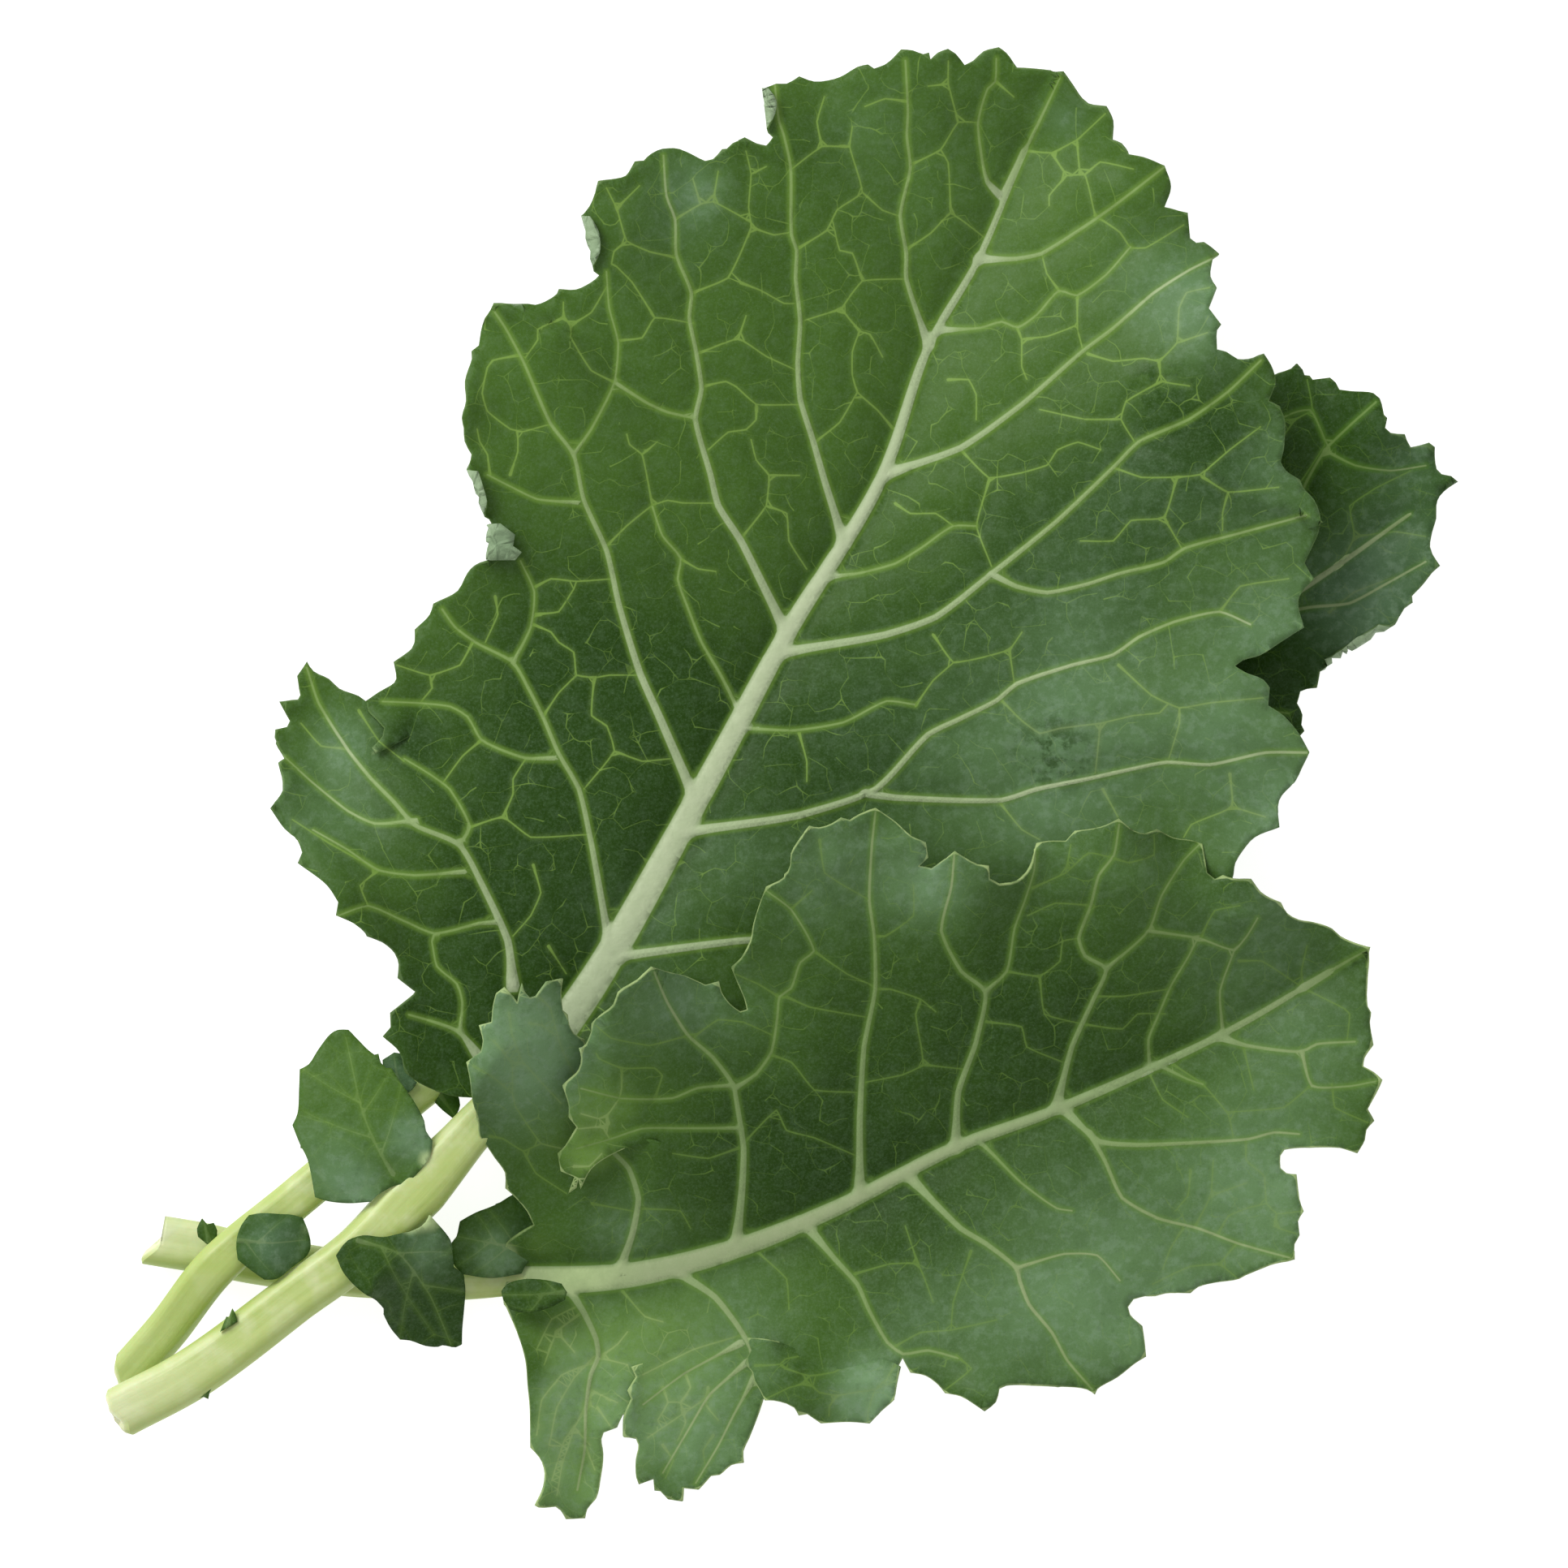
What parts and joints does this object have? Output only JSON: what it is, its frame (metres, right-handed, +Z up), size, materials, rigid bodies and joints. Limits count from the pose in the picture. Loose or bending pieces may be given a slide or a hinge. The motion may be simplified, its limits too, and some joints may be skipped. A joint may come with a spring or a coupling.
{
  "type": "bunch of collard greens",
  "caption": "Loose bunch of broad collard leaves lying flat: pale crossing stems, wavy toothed blades with branching veins, small leaflets along the stems.",
  "frame": {"origin": "centre of the bunch's bounding rectangle, on the surface that it lies on", "axes": "+Z up; +Y from the cut stem ends towards the large leaf's tip side; +X towards the back leaf's tip, with the cut stem ends at the low X, low Y corner"},
  "size_m": [0.2667, 0.2913, 0.0318],
  "materials": {
    "stem": "smooth, fresh, slightly waxy",
    "large_blade": "waxy leaf with pale ribs and a bluish bloom",
    "front_blade": "waxy leaf with pale ribs, crimped",
    "back_blade": "waxy leaf with pale ribs"
  },
  "bodies": {
    "root": {"large_leaf_stem": "stem", "front_leaf_stem": "stem", "back_leaf_stem": "stem", "large_leaf_blade": "large_blade", "front_leaf_blade": "front_blade", "back_leaf_blade": "back_blade", "large_leaf_upper_leaflet": "large_blade", "large_leaf_lower_leaflet": "large_blade", "large_leaf_upper_bud": "large_blade", "large_leaf_lower_bud": "large_blade", "front_leaf_basal_leaflet": "front_blade", "front_leaf_curled_leaflet": "front_blade", "front_leaf_end_leaflet": "front_blade", "back_leaf_round_leaflet": "back_blade", "back_leaf_grey_leaflet": "back_blade", "back_leaf_dark_leaflet": "back_blade"}
  },
  "joints": []
}
